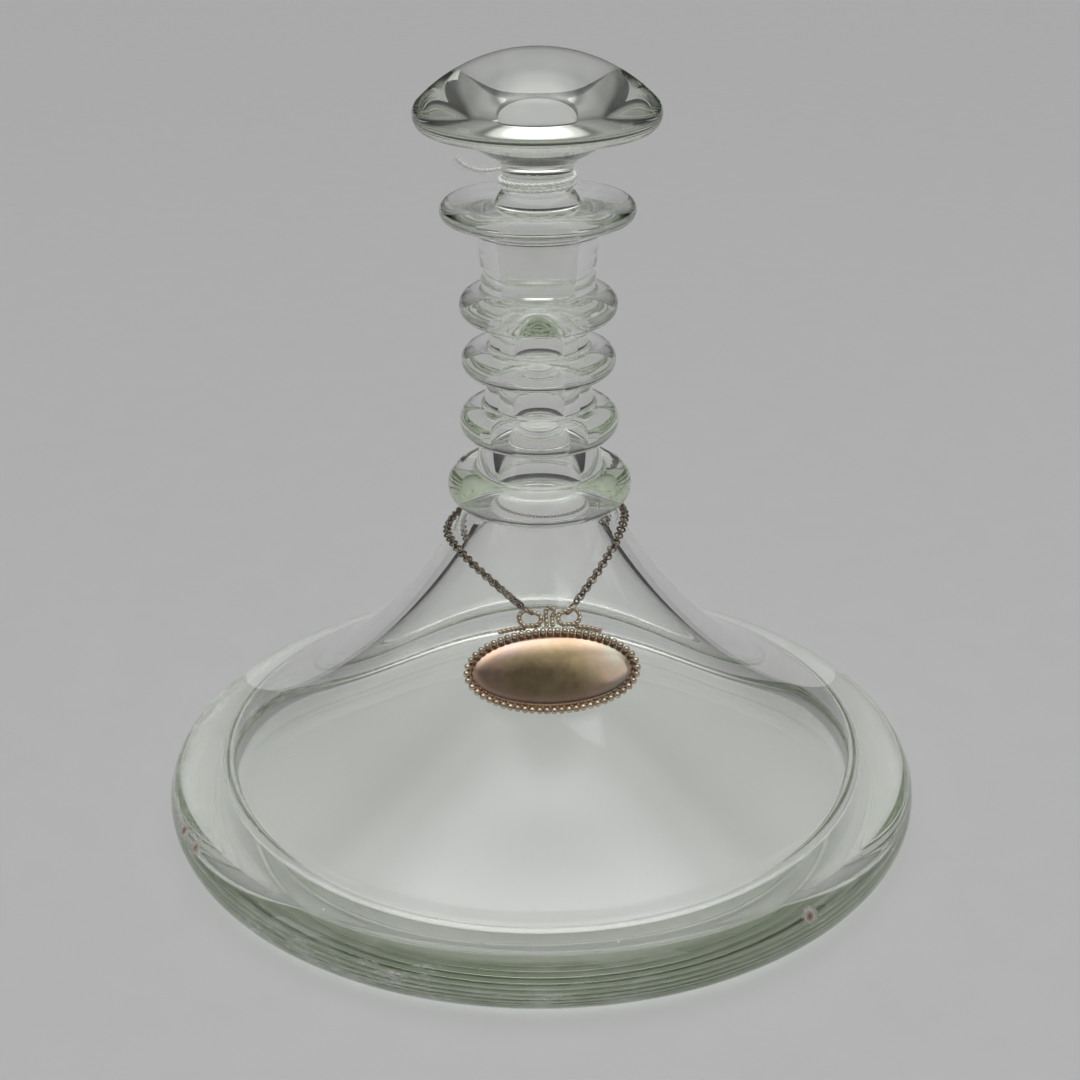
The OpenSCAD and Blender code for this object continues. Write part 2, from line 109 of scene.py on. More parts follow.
# Wear: where it begins and is full on the base's edge, the lip's dusty top, white smears, brown stains
RIM_FROM, RIM_FULL, DUSTY_Z = 92.0, 98.5, 171.2
RIM_STRETCH, SMEAR_SIZE, STAIN_SIZE = 0.2, 8.0, 3.0
SCUFFS = [(-47.5, -93.6, 9.4), (-42.0, -96.2, 9.2), (-36.0, -98.6, 8.8)]
STAINS = [(-98.0, -34.0, 12.8), (-94.1, -43.0, 13.2), (60.3, -84.7, 12.5)]

# Camera: fitted to the ellipses of the base, rings and lip in a square picture
CAMERA_OUT, CAMERA_UP, CAMERA_TURN, CAMERA_DOWN = 446.25, 277.8, 4.0, 24.05
LENS, SENSOR, CAMERA_ROLL = 59.83, 36.0, 0.37


# Plane curves

def on_circle(c, r, a):
    return np.asarray(c, float) + r * np.array([math.cos(math.radians(a)), math.sin(math.radians(a))])


def arc(c, r, a0, a1, n):
    return [on_circle(c, r, a0 + (a1 - a0) * i / n) for i in range(n + 1)]


def angle_of(v):
    return math.degrees(math.atan2(v[1], v[0]))


def unit(v):
    return np.asarray(v, float) / np.linalg.norm(v)


def centre_from(a, ra, b, rb):
    """Centre of a circle that lies ra from a and rb from b, on the left of the way from a to b."""
    d = np.linalg.norm(b - a)
    u = (b - a) / d
    along = (ra * ra - rb * rb + d * d) / (2 * d)
    across = math.sqrt(ra * ra - along * along)
    return a + along * u + across * np.array([-u[1], u[0]])


def bezier(a, b, c, d, n):
    points = [np.asarray(p, float) for p in (a, b, c, d)]
    t = np.linspace(0, 1, n + 1)[:, None]
    weights = ((1 - t) ** 3, 3 * (1 - t) ** 2 * t, 3 * (1 - t) * t ** 2, t ** 3)
    return list(sum(w * p for w, p in zip(weights, points)))


def rounded(before, corner, after, reach, n=6):
    """A corner drawn as a short curve that starts and ends at reach from it."""
    before, corner, after = (np.asarray(p, float) for p in (before, corner, after))
    start = corner + reach * unit(before - corner)
    end = corner + reach * unit(after - corner)
    return bezier(start, (start + 2 * corner) / 3, (end + 2 * corner) / 3, end, n)


# Meshes

class Shape:
    """Collects vertices in millimetres and faces, and makes one object of them."""

    def __init__(self):
        self.verts = []
        self.faces = []

    def loft(self, rings, start=None, end=None, loop=False):
        """Skins rings of points; start and end are points that close the ends."""
        base = len(self.verts)
        n = len(rings[0])
        for ring in rings:
            self.verts.extend(ring)
        spans = len(rings) if loop else len(rings) - 1
        for i in range(spans):
            a, b = base + i * n, base + (i + 1) % len(rings) * n
            for k in range(n):
                m = (k + 1) % n
                self.faces.append((a + k, a + m, b + m, b + k))
        last = base + (len(rings) - 1) * n
        if start is not None:
            self.verts.append(start)
            pole = len(self.verts) - 1
            self.faces.extend((pole, base + (k + 1) % n, base + k) for k in range(n))
        if end is not None:
            self.verts.append(end)
            pole = len(self.verts) - 1
            self.faces.extend((pole, last + k, last + (k + 1) % n) for k in range(n))

    def tube(self, path, radius, sides, loop=False):
        """A round tube along a path; radius is one number or one for each point."""
        path = np.asarray(path, float)
        radii = np.broadcast_to(radius, len(path))
        across, rise = path_axes(path, loop)
        angles = [2 * math.pi * k / sides for k in range(sides)]
        rings = [[p + r * (u * math.cos(a) + v * math.sin(a)) for a in angles]
                 for p, r, u, v in zip(path, radii, across, rise)]
        if loop:
            self.loft(rings, loop=True)
        else:
            self.loft(rings, start=path[0], end=path[-1])

    def make(self, name, material):
        mesh = bpy.data.meshes.new(name)
        mesh.from_pydata([tuple(np.asarray(v) * MM) for v in self.verts], [], self.faces)
        mesh.polygons.foreach_set("use_smooth", [True] * len(mesh.polygons))
        mesh.materials.append(material)
        mesh.update()
        piece = bpy.data.objects.new(name, mesh)
        bpy.context.scene.collection.objects.link(piece)
        return piece


def path_axes(path, loop=False):
    """Two unit vectors square to the path at each point, carried along it without twist."""
    if loop:
        ahead = np.roll(path, -1, axis=0) - np.roll(path, 1, axis=0)
    else:
        ahead = np.gradient(path, axis=0)
    ahead /= np.linalg.norm(ahead, axis=1)[:, None]
    seed = np.array([0.0, 0.0, 1.0]) if abs(ahead[0][2]) < 0.9 else np.array([0.0, 1.0, 0.0])
    across = []
    for t in ahead:
        seed = unit(seed - t * np.dot(seed, t))
        across.append(seed)
    across = np.array(across)
    return across, np.cross(ahead, across)


def lathe(shape, profile, segments, wave=None):
    """Turns a profile that starts and ends on the axis; wave gives a small inward move of each point."""
    turns = [2 * math.pi * k / segments for k in range(segments)]
    rings = []
    for r, z in profile[1:-1]:
        ring = []
        for a in turns:
            p = np.array([r * math.cos(a), r * math.sin(a), z])
            if wave:
                p[:2] *= 1 - wave(p, r) / r
            ring.append(p)
        rings.append(ring)
    shape.loft(rings, start=(0, 0, profile[0][1]), end=(0, 0, profile[-1][1]))


def resampled(path, step, loop=False):
    """The same path with points at even steps."""
    path = np.asarray(path, float)
    if loop:
        path = np.vstack([path, path[:1]])
    lengths = np.concatenate([[0], np.cumsum(np.linalg.norm(np.diff(path, axis=0), axis=1))])
    count = max(2, int(round(lengths[-1] / step)))
    at = np.linspace(0, lengths[-1], count + 1)
    even = np.stack([np.interp(at, lengths, path[:, i]) for i in range(3)], axis=1)
    return even[:-1] if loop else even


def twisted(shape, path, diameter, pitch, strands=2, sides=8, loop=False):
    """Rope: round strands that wind about a path."""
    path = resampled(path, pitch / 14, loop)
    across, rise = path_axes(path, loop)
    steps = np.linalg.norm(np.diff(path, axis=0), axis=1)
    along = np.concatenate([[0], np.cumsum(steps)])
    whole = along[-1] + (np.linalg.norm(path[0] - path[-1]) if loop else 0)
    turns = max(1, round(whole / pitch)) / whole
    strand_r, lay_r = 0.31 * diameter, 0.19 * diameter
    for s in range(strands):
        phase = 2 * math.pi * (along * turns + s / strands)
        offset = across * np.cos(phase)[:, None] + rise * np.sin(phase)[:, None]
        shape.tube(path + lay_r * offset, strand_r, sides, loop)


# Materials

class Paint:
    """A node material under construction."""

    def __init__(self, name):
        self.material = bpy.data.materials.new(name)
        self.material.use_nodes = True
        self.tree = self.material.node_tree
        self.tree.nodes.clear()
        self.output = self.node("OutputMaterial")

    def node(self, kind, settings=None, **inputs):
        made = self.tree.nodes.new("ShaderNode" + kind)
        for key, value in (settings or {}).items():
            setattr(made, key, value)
        for key, value in inputs.items():
            socket = made.inputs[key.replace("_", " ")]
            if isinstance(value, bpy.types.NodeSocket):
                self.tree.links.new(value, socket)
            else:
                socket.default_value = value
        return made

    def noise(self, scale, detail=3.0, roughness=0.5, where=None):
        made = self.node("TexNoise", Scale=scale, Detail=detail, Roughness=roughness)
        self.tree.links.new(where or self.place(), made.inputs["Vector"])
        return made.outputs["Fac"]

    def place(self):
        return self.node("TexCoord").outputs["Object"]

    def ramp(self, value, *stops):
        made = self.node("ValToRGB", Fac=value)
        elements = made.color_ramp.elements
        while len(elements) < len(stops):
            elements.new(0.5)
        for element, (position, colour) in zip(elements, stops):
            element.position = position
            element.color = (*colour, 1) if len(colour) == 3 else colour
        return made.outputs["Color"]

    def level(self, value, low, high, to_low=0.0, to_high=1.0):
        made = self.node("MapRange", Value=value)
        for index, number in zip(range(1, 5), (low, high, to_low, to_high)):
            made.inputs[index].default_value = number
        return made.outputs["Result"]

    def math(self, operation, a, b):
        made = self.node("Math", {"operation": operation})
        for socket, value in zip(made.inputs, (a, b)):
            if isinstance(value, bpy.types.NodeSocket):
                self.tree.links.new(value, socket)
            else:
                socket.default_value = value
        return made.outputs[0]

    def mix(self, fac, a, b):
        made = self.node("Mix", {"data_type": "RGBA"})
        for index, value in ((0, fac), (6, a), (7, b)):
            if isinstance(value, bpy.types.NodeSocket):
                self.tree.links.new(value, made.inputs[index])
            elif index == 0:
                made.inputs[0].default_value = value
            else:
                made.inputs[index].default_value = (*value, 1)
        return made.outputs[2]

    def bump(self, height, strength, distance):
        made = self.node("Bump", Strength=strength, Distance=distance, Height=height)
        return made.outputs["Normal"]

    def surface(self, shader):
        self.tree.links.new(shader, self.output.inputs["Surface"])
        return self.material


def spots(paint, where, centres, size):
    """Ragged spots about the given points: 1 in their middle, 0 outside."""
    ragged = paint.level(paint.noise(420, 4, 0.6), 0.3, 0.7, 0.6, 1.5)
    whole = 0.0
    for centre in centres:
        away = paint.node("VectorMath", {"operation": "DISTANCE"})
        paint.tree.links.new(where, away.inputs[0])
        away.inputs[1].default_value = [c * MM for c in centre]
        reach = paint.math("MULTIPLY", away.outputs["Value"], ragged)
        near = paint.level(reach, size * MM, 0.1 * size * MM)
        whole = paint.math("MAXIMUM", whole, near)
    return whole


def glass_paint(name, worn):
    """Old clear glass, grey-green in its depth; worn glass has a scuffed base edge, dust and stains."""
    paint = Paint(name)
    body = paint.node("BsdfPrincipled", Base_Color=(1, 1, 1, 1), Roughness=0.0, IOR=GLASS_IOR)
    body.inputs["Transmission Weight"].default_value = 1.0
    if worn:
        where = paint.place()
        axes = paint.node("SeparateXYZ", Vector=where).outputs
        spread = paint.math("SQRT", paint.math("ADD", paint.math("MULTIPLY", axes["X"], axes["X"]),
                                               paint.math("MULTIPLY", axes["Y"], axes["Y"])), 0.0)
        turn = paint.math("ARCTAN2", axes["Y"], axes["X"])
        along = paint.math("MULTIPLY", turn, RIM_STRETCH * BASE_R * MM)
        round_rim = paint.node("CombineXYZ", X=along, Y=spread, Z=axes["Z"])
        streaks = paint.noise(420, 6, 0.7, round_rim.outputs[0])
        rim = paint.level(spread, RIM_FROM * MM, RIM_FULL * MM)
        low = paint.math("MULTIPLY", rim, paint.level(axes["Z"], 0.018, 0.006))
        left = paint.level(axes["X"], 0.03, -0.06, 0.3, 1.0)
        broad = paint.level(paint.noise(34, 4, 0.6), 0.40, 0.62)
        rubbed = paint.math("MULTIPLY", paint.level(streaks, 0.40, 0.68), broad)
        rubbed = paint.math("MULTIPLY", rubbed, paint.math("MULTIPLY", low, left))
        smear = paint.math("MULTIPLY", spots(paint, where, SCUFFS, SMEAR_SIZE),
                           paint.level(streaks, 0.5, 0.66))
        cells = paint.node("TexVoronoi", Vector=where, Scale=260.0)
        dust = paint.level(cells.outputs["Distance"], 0.075, 0.035)
        rare = paint.level(paint.node("SeparateColor", Color=cells.outputs["Color"]).outputs[0], 0.86, 0.9)
        dish = paint.math("MULTIPLY", paint.level(axes["Z"], DUSTY_Z * MM, (DUSTY_Z + 1.0) * MM),
                          paint.level(paint.noise(260, 6, 0.7), 0.38, 0.7, 0.03, 0.2))
        haze = paint.math("MAXIMUM", paint.math("MULTIPLY", rubbed, 0.75),
                          paint.math("MULTIPLY", smear, 0.85))
        haze = paint.math("MAXIMUM", haze, paint.math("MULTIPLY", paint.math("MULTIPLY", dust, rare), 0.6))
        haze = paint.math("MAXIMUM", haze, dish)
        stain = spots(paint, where, STAINS, STAIN_SIZE)
        tone = paint.mix(paint.level(stain, 0.0, 0.05), (0.97, 0.97, 0.96), (0.22, 0.11, 0.03))
        tint = paint.mix(paint.math("MAXIMUM", haze, stain), (1, 1, 1), tone)
        cover = paint.math("MAXIMUM", haze, paint.level(stain, 0.1, 0.6, 0.0, 0.85))
        paint.tree.links.new(tint, body.inputs["Base Color"])
        paint.tree.links.new(paint.math("MULTIPLY", cover, 0.5), body.inputs["Roughness"])
        paint.tree.links.new(paint.math("SUBTRACT", 1.0, cover), body.inputs["Transmission Weight"])
    clear = paint.node("BsdfTransparent", Color=(0.95, 0.96, 0.95, 1))
    rays = paint.node("LightPath")
    blend = paint.node("MixShader", Fac=rays.outputs["Is Shadow Ray"])
    paint.tree.links.new(body.outputs[0], blend.inputs[1])
    paint.tree.links.new(clear.outputs[0], blend.inputs[2])
    depth = paint.node("VolumeAbsorption", Color=GLASS_TINT, Density=GLASS_DENSITY)
    paint.tree.links.new(depth.outputs[0], paint.output.inputs["Volume"])
    return paint.surface(blend.outputs[0])


def metal_paint(name, bright, dark, grain, roughness):
    """Tarnished metal: two tones in soft patches, a fine grain, and a shine that varies with them."""
    paint = Paint(name)
    patches = paint.noise(grain, 5, 0.6)
    tone = paint.mix(paint.level(patches, 0.35, 0.65), dark, bright)
    rough = paint.level(patches, 0.3, 0.7, roughness + 0.12, roughness)
    normal = paint.bump(paint.noise(grain * 9, 3), 0.12, 0.0001)
    body = paint.node("BsdfPrincipled", Base_Color=tone, Metallic=1.0, Roughness=rough, Normal=normal)
    return paint.surface(body.outputs[0])


def label_paint():
    """Worn gilding: rose towards the edge, olive-brown in the middle, and to the right a lighter greenish
    silver that is partly the metal's own tint and partly painted light.
    """
    paint = Paint("worn_gilding")
    axes = paint.node("SeparateXYZ", Vector=paint.place()).outputs
    across = paint.math("DIVIDE", axes["X"], 0.0165)
    up = paint.math("DIVIDE", paint.math("SUBTRACT", axes["Z"], LABEL_MIDDLE_Z * MM), 0.0066)
    away = paint.math("ADD", paint.math("MULTIPLY", across, across), paint.math("MULTIPLY", up, up))
    patches = paint.noise(160, 5, 0.6)
    olive = paint.mix(paint.level(patches, 0.36, 0.64), (0.40, 0.31, 0.17), (0.47, 0.37, 0.22))
    gilt = paint.mix(paint.level(patches, 0.36, 0.64), (0.53, 0.365, 0.255), (0.59, 0.42, 0.32))
    lilac = paint.level(paint.noise(95, 4, 0.55), 0.5, 0.64)
    rose = paint.mix(paint.math("MULTIPLY", lilac, 0.55), gilt, (0.53, 0.41, 0.40))
    tone = paint.mix(paint.level(away, 0.3, 0.9), olive, rose)
    # Painted light: to the right the base colour turns a lighter greenish silver, partly a real tint and
    # partly painted light standing in for light falling on the label's right side.
    right = paint.level(axes["X"], 0.008, 0.014)
    green_tint_and_painted_light = paint.math("MULTIPLY", right, paint.level(paint.noise(140, 3), 0.35, 0.6))
    tone = paint.mix(paint.math("MULTIPLY", green_tint_and_painted_light, 0.75), tone, (0.46, 0.48, 0.40))
    rough = paint.level(paint.noise(300, 6, 0.65), 0.3, 0.7, 0.14, 0.26)
    normal = paint.bump(paint.noise(900, 4), 0.08, 0.0001)
    body = paint.node("BsdfPrincipled", Base_Color=tone, Metallic=1.0, Roughness=rough, Normal=normal)
    return paint.surface(body.outputs[0])


def cotton_paint():
    """White cotton with a soft sheen and fine fibres."""
    paint = Paint("white_cotton")
    tone = paint.mix(paint.noise(900, 3), (0.80, 0.80, 0.77), (0.93, 0.93, 0.91))
    normal = paint.bump(paint.noise(4200, 4, 0.7), 0.4, 0.0002)
    body = paint.node("BsdfPrincipled", Base_Color=tone, Roughness=0.9, Normal=normal)
    body.inputs["Sheen Weight"].default_value = 0.4
    return paint.surface(body.outputs[0])


def floor_paint():
    """Plain pale table with a very faint grain."""
    paint = Paint("pale_table")
    tone = paint.mix(paint.noise(60, 4), (0.60, 0.60, 0.605), (0.63, 0.63, 0.635))
    body = paint.node("BsdfPrincipled", Base_Color=tone, Roughness=0.55)
    return paint.surface(body.outputs[0])


vessel_glass = glass_paint("vessel_glass", True)
stopper_glass = glass_paint("stopper_glass", False)
gilding = label_paint()
rope_silver = metal_paint("rope_silver", (0.75, 0.65, 0.51), (0.42, 0.34, 0.24), 420, 0.19)
dark_silver = metal_paint("dark_silver", (0.46, 0.40, 0.33), (0.10, 0.08, 0.06), 520, 0.18)
cotton = cotton_paint()


# Vessel: one glass wall from under the base, up the outside, over the lip and down the inside

EDGE_C = np.array([BASE_R - EDGE_R, EDGE_R])
FLANK_C = centre_from(ROOT, FLANK_R, EDGE_C, FLANK_R + EDGE_R)
MOUTH_Z = LIP_Z + LIP_EDGE_R - LIP_DISH
PLUG_Z = MOUTH_Z - PLUG_L
SOCKET_Z = PLUG_Z - 1.0


def socket_at(z):
    return SOCKET_R - (MOUTH_Z - z) * SOCKET_TAPER


def ring_outline(z, r, tube_r, neck_over, neck_under):
    """A ring's section from under to over, run into the neck by small fillets."""
    c = np.array([r - tube_r, z])
    f = RING_FILLET
    low = np.array([neck_under + f, z - math.sqrt((tube_r + f) ** 2 - (neck_under + f - c[0]) ** 2)])
    high = np.array([neck_over + f, z + math.sqrt((tube_r + f) ** 2 - (neck_over + f - c[0]) ** 2)])
    points = arc(low, f, 180, angle_of(c - low), 6)
    points += arc(c, tube_r, angle_of(low - c), angle_of(high - c), 30)[1:]
    points += arc(high, f, angle_of(c - high) + 360, 180, 6)[1:]
    return points


def collar_outline():
    """The collar's section, with a fillet on the flank under it and one on the neck over it."""
    c = np.array([COLLAR_R - COLLAR_TUBE_R, COLLAR_Z])
    f, t = COLLAR_FILLET, COLLAR_TUBE_R
    low = centre_from(FLANK_C, FLANK_R - f, c, t + f)
    seat = FLANK_C + FLANK_R * unit(low - FLANK_C)
    g = RING_FILLET
    high_r = COLLAR_NECK_R + g
    high = np.array([high_r, COLLAR_Z + math.sqrt((t + g) ** 2 - (high_r - c[0]) ** 2)])
    points = arc(low, f, angle_of(seat - low) % 360, angle_of(c - low), 6)
    points += arc(c, t, angle_of(low - c), angle_of(high - c), 34)[1:]
    points += arc(high, g, angle_of(c - high) + 360, 180, 6)[1:]
    return points, seat


def vessel_outside():
    collar, seat = collar_outline()
    under = [(0, 0), (BASE_R * 0.3, 0), (BASE_R * 0.6, 0)]
    edge = arc(EDGE_C, EDGE_R, -90, angle_of(FLANK_C - EDGE_C), 40)
    flank = arc(FLANK_C, FLANK_R, angle_of(EDGE_C - FLANK_C), angle_of(seat - FLANK_C), 90)
    lip_c = (LIP_R - LIP_EDGE_R, LIP_Z)
    outline = under + edge + flank[1:-1] + collar
    for ring in reversed(RINGS):
        outline += ring_outline(*ring)
    lip_low = LIP_Z - LIP_EDGE_R
    outline += bezier((NECK_TOP_R, lip_low - 4.6), (NECK_TOP_R + 0.1, lip_low - 1.2),
                      (NECK_TOP_R + 2.2, lip_low - 0.5), (lip_c[0], lip_low), 12)
    return outline + arc(lip_c, LIP_EDGE_R, -90, 90, 24)[1:]


def vessel_inside():
    root = ROOT + WALL * unit(ROOT - FLANK_C)
    fold_c = np.array([BOWL_R - FOLD_R, BASE_T + FOLD_R])
    c = centre_from(root, INNER_FLANK_R, fold_c, INNER_FLANK_R + FOLD_R)
    flank = arc(c, INNER_FLANK_R, angle_of(root - c), angle_of(fold_c - c), 90)
    fold = arc(fold_c, FOLD_R, angle_of(c - fold_c), -90, 36)
    lower_z, middle_z = RINGS[2][0], RINGS[1][0]
    bore = [(BORE_R, SOCKET_Z - BORE_STEP), (BORE_R, middle_z), (BORE_LOW_R, lower_z), root]
    mouth_low = MOUTH_Z - MOUTH_ROUND
    mouth = arc((SOCKET_R + MOUTH_ROUND, mouth_low), MOUTH_ROUND, 90, 180, 6)
    socket_end = (socket_at(SOCKET_Z), SOCKET_Z)
    inside = mouth + rounded(mouth[-1], socket_end, bore[0], 0.8, 5)
    inside += rounded(socket_end, bore[0], bore[1], 1.2, 5) + rounded(bore[0], bore[1], bore[2], 4)
    inside += rounded(bore[1], bore[2], root, 5)
    inside += rounded(bore[2], root, flank[4], 4, 8) + flank[4:] + fold[1:]
    return inside + [(BASE_T * 4, BASE_T), (0, BASE_T)]


def hand_blown(p, r):
    """Slow, shallow waves of hand-worked glass, stronger on the flank than on the neck."""
    depth = 0.22 if p[2] < ROOT[1] - 6 else 0.06
    spot = Vector(p * 0.032) + Vector((0, 0, r * 0.011))
    return depth * (0.5 + 0.5 * noise.noise(spot))


body = Shape()
lathe(body, vessel_outside() + vessel_inside(), 192, hand_blown)
vessel = body.make("decanter_glass", vessel_glass)
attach(vessel, "decanter")
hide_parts("vessel", "collar_ring", "neck_ring_lower", "neck_ring_middle", "neck_ring_upper")


# Stopper: ground plug, round shoulder, waist, hollow throat and a domed head

def stopper_outline():
    plug_top_z = MOUTH_Z - MOUTH_ROUND
    plug_top_r = socket_at(plug_top_z) - PLUG_FIT
    shoulder_c = np.array([plug_top_r - SHOULDER_R, plug_top_z])
    shoulder_a = math.degrees(math.acos((WAIST_R - shoulder_c[0]) / SHOULDER_R))
    waist_z = plug_top_z + SHOULDER_R * math.sin(math.radians(shoulder_a))
    throat_c = np.array([WAIST_R + THROAT_R, waist_z + WAIST_H])
    head_c = np.array([HEAD_R - HEAD_EDGE_R, LIP_Z + LIP_EDGE_R + HEAD_UP])
    dome_top = head_c[1] + DOME_H
    reach = dome_top - HEAD_EDGE_R
    dome_z = (reach ** 2 - head_c @ head_c) / (2 * (reach - head_c[1]))
    dome_a = angle_of((head_c[0], head_c[1] - dome_z))
    end_r = socket_at(PLUG_Z) - PLUG_FIT
    outline = [(0, PLUG_Z), (end_r * 0.5, PLUG_Z)]
    outline += rounded((0, PLUG_Z), (end_r, PLUG_Z), (plug_top_r, plug_top_z), 1.0)
    outline += arc(shoulder_c, SHOULDER_R, 0, shoulder_a, 14)
    outline += rounded(outline[-1], (WAIST_R, waist_z + 0.8), (WAIST_R, waist_z + WAIST_H), 0.7, 4)
    throat = arc(throat_c, THROAT_R, 180, 112, 14)
    outline += throat
    edge = arc(head_c, HEAD_EDGE_R, -108, dome_a, 30)
    outline += bezier(throat[-1], throat[-1] + 3 * unit(throat[-1] - throat[-2]),
                      edge[0] - 3 * unit(edge[1] - edge[0]), edge[0], 14)[1:-1]
    outline += edge + arc((0, dome_z), dome_top - dome_z, dome_a, 90, 48)[1:]
    return outline, waist_z


outline, waist_z = stopper_outline()
outline[-1] = np.array([0, outline[-1][1]])
plug = Shape()
lathe(plug, outline, 160)
stopper = plug.make("stopper_glass", stopper_glass)
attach(stopper, "stopper")
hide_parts("stopper")


# Thread: a two-ply yarn wound round the waist, with a loose end and stray fibres

def thread_route():
    z = waist_z + THREAD_UP
    r = WAIST_R + THREAD_GAP + THREAD_D / 2
    loop_rings = 24

    def turn(u):
        a = math.radians(THREAD_START + 360 * u)
        return np.array([r * math.cos(a), r * math.sin(a), z + THREAD_RISE * u])

    end_u = THREAD_TURNS + 1 / loop_rings
    a = math.radians(THREAD_START + 360 * end_u)
    leave = turn(end_u)
    heading = unit([-r * math.sin(a), r * math.cos(a), THREAD_RISE / (2 * math.pi)])
    top = np.array([0, 0, leave[2]])
    route = [turn(i / 96) for i in range(int(end_u * 96) + 1)]
    tail = bezier(leave, leave + TAIL_LEAVE * r * heading, top + TAIL_LOW, top + TAIL_END, 40)
    route += tail[1:]
    return route + [route[-1] + THREAD_D * unit(route[-1] - route[-2])]


random.seed(7)
route = thread_route()
yarn = Shape()
twisted(yarn, route, THREAD_D, 3.2, strands=2, sides=8)
thread = yarn.make("cotton_thread", cotton)
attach(thread, "stopper")
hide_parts("stopper_thread")


def fibres(count, length):
    """Stray fibres that curl out of the yarn, most of them near its loose end."""
    fluff = Shape()
    line = resampled(route, 0.4)
    for _ in range(count):
        if random.random() < 0.6:
            i = int(len(line) * (1 - random.random() ** 2.0 * 0.3)) - 1
        else:
            i = random.randrange(len(line))
        at = line[i]
        lean = unit([random.gauss(0, 1), random.gauss(0, 1), random.gauss(0.3, 1)])
        curl = unit([random.gauss(0, 1), random.gauss(0, 1), random.gauss(0, 1)])
        reach = length * random.uniform(0.3, 1.0)
        path = [at + lean * reach * s + curl * reach * 0.45 * math.sin(2.6 * s) * s
                for s in np.linspace(0, 1, 9)]
        fluff.tube(path, [0.045 * (1 - 0.5 * s) for s in np.linspace(0, 1, 9)], 4)
    return fluff.make("thread_fluff", cotton)


fluff = fibres(520, 2.1)
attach(fluff, "stopper")


# Label frame: X to the right, Y up the flank, Z out of the glass, from the label's lower edge

label_arc_r = FLANK_R - LABEL_GAP
bow_top = LABEL_H + BOW_GAP + LOOP_H
low_a = -math.degrees(math.acos((LABEL_LOW_R - FLANK_C[0]) / label_arc_r))
high_a = low_a - 2 * math.degrees(math.asin(bow_top / 2 / label_arc_r))
label_low = on_circle(FLANK_C, label_arc_r, low_a)
label_tilt = math.radians(180 - angle_of(on_circle(FLANK_C, label_arc_r, high_a) - label_low))


def on_label(p):
    x, y, z = p
    c, s = math.cos(label_tilt), math.sin(label_tilt)
    return np.array([x, -label_low[0] + y * c - z * s, label_low[1] + y * s + z * c])


def oval(inset, a):
    half_w, half_h = LABEL_W / 2 - inset, LABEL_H / 2 - inset
    return np.array([half_w * math.cos(a), LABEL_H / 2 + half_h * math.sin(a)])


def label_ring(inset, height, share=1.0, sides=128):
    """Points round the label at an inset, drawn in towards its middle by share."""
    middle = np.array([0, LABEL_H / 2])
    angles = [2 * math.pi * k / sides for k in range(sides)]
    flat = [middle + (oval(inset, a) - middle) * share for a in angles]
    return [on_label((*p, height)) for p in flat]


def label_sheet():
    """Domed oval sheet: hollow back, flat flange with a round edge, and a crown over a round step."""
    sheet = Shape()
    hollow = FLANGE_T + LABEL_DOME_H - SHEET_T
    shares = [math.sin(math.radians(a)) for a in (12, 26, 40, 54, 66, 76, 84, 90)]
    rings = [label_ring(FLANGE_W + SHEET_T, hollow * math.sqrt(1 - s * s), s) for s in shares]
    edge = BEAD_D / 2 - BEAD_COVER
    turn = FLANGE_T / 2
    rings += [label_ring(edge + turn * (1 - math.cos(a)), turn + turn * math.sin(a))
              for a in np.radians([-90, -60, -30, 0, 30, 60, 90])]
    rings += [label_ring(DOME_INSET - 0.25, FLANGE_T), label_ring(DOME_INSET - 0.07, FLANGE_T + 0.05)]
    for s in (1.0, 0.997, 0.99, 0.975, 0.955, 0.93, 0.9, 0.85, 0.8, 0.7, 0.6, 0.5, 0.4, 0.3, 0.2, 0.1):
        crown = 0.58 * (1 - s ** 2) + 0.42 * math.sqrt(1 - s ** 16)
        rings.append(label_ring(DOME_INSET, FLANGE_T + LABEL_DOME_H * crown, s))
    middle = LABEL_H / 2
    crown_top = on_label((0, middle, FLANGE_T + LABEL_DOME_H))
    sheet.loft(rings, start=on_label((0, middle, hollow)), end=crown_top)
    return sheet.make("label_sheet", gilding)


sheet = label_sheet()
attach(sheet, "label")
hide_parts("label_plate")


def border():
    """Beads at even steps along the label's edge, each a little different from the next."""
    beads = Shape()
    inset = BEAD_D / 2
    fine = np.array([oval(inset, a) for a in np.linspace(0, 2 * math.pi, 721)])
    along = np.concatenate([[0], np.cumsum(np.linalg.norm(np.diff(fine, axis=0), axis=1))])
    sides = 16
    for i in range(BEAD_COUNT):
        at = along[-1] * i / BEAD_COUNT
        x, y = np.interp(at, along, fine[:, 0]), np.interp(at, along, fine[:, 1])
        r = BEAD_D / 2 * random.uniform(0.96, 1.0) * BEAD_FULL
        z = FLANGE_T + BOW_GAP + BEAD_D / 2
        rings = [[on_label((x + r * math.sin(t) * math.cos(2 * math.pi * k / sides),
                            y + r * math.sin(t) * math.sin(2 * math.pi * k / sides),
                            z - r * math.cos(t))) for k in range(sides)]
                 for t in np.linspace(0, math.pi, 11)[1:-1]]
        beads.loft(rings, start=on_label((x, y, z - r)), end=on_label((x, y, z + r)))
    return beads.make("bead_border_metal", rope_silver)


beads = border()
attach(beads, "label")
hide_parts("bead_border")


# Bow: rope wire in two loops, a knot of two strands and two tails

TAIL_Y = LABEL_H + BOW_GAP + ROPE_D / 2
LOOP_LOW = TAIL_Y
LOOP_BEND = (LOOP_H - ROPE_D) / 2
LOOP_RUN = LOOP_W - LOOP_H
HINGE_Y = LOOP_LOW + 2 * LOOP_BEND
ROPE_PITCH = 2.2


def rope(name, paths, node, loop=False):
    wire = Shape()
    for path in paths:
        twisted(wire, [on_label(p) for p in path], ROPE_D, ROPE_PITCH, loop=loop)
    piece = wire.make(name, rope_silver)
    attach(piece, "label")
    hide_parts(node)
    return piece


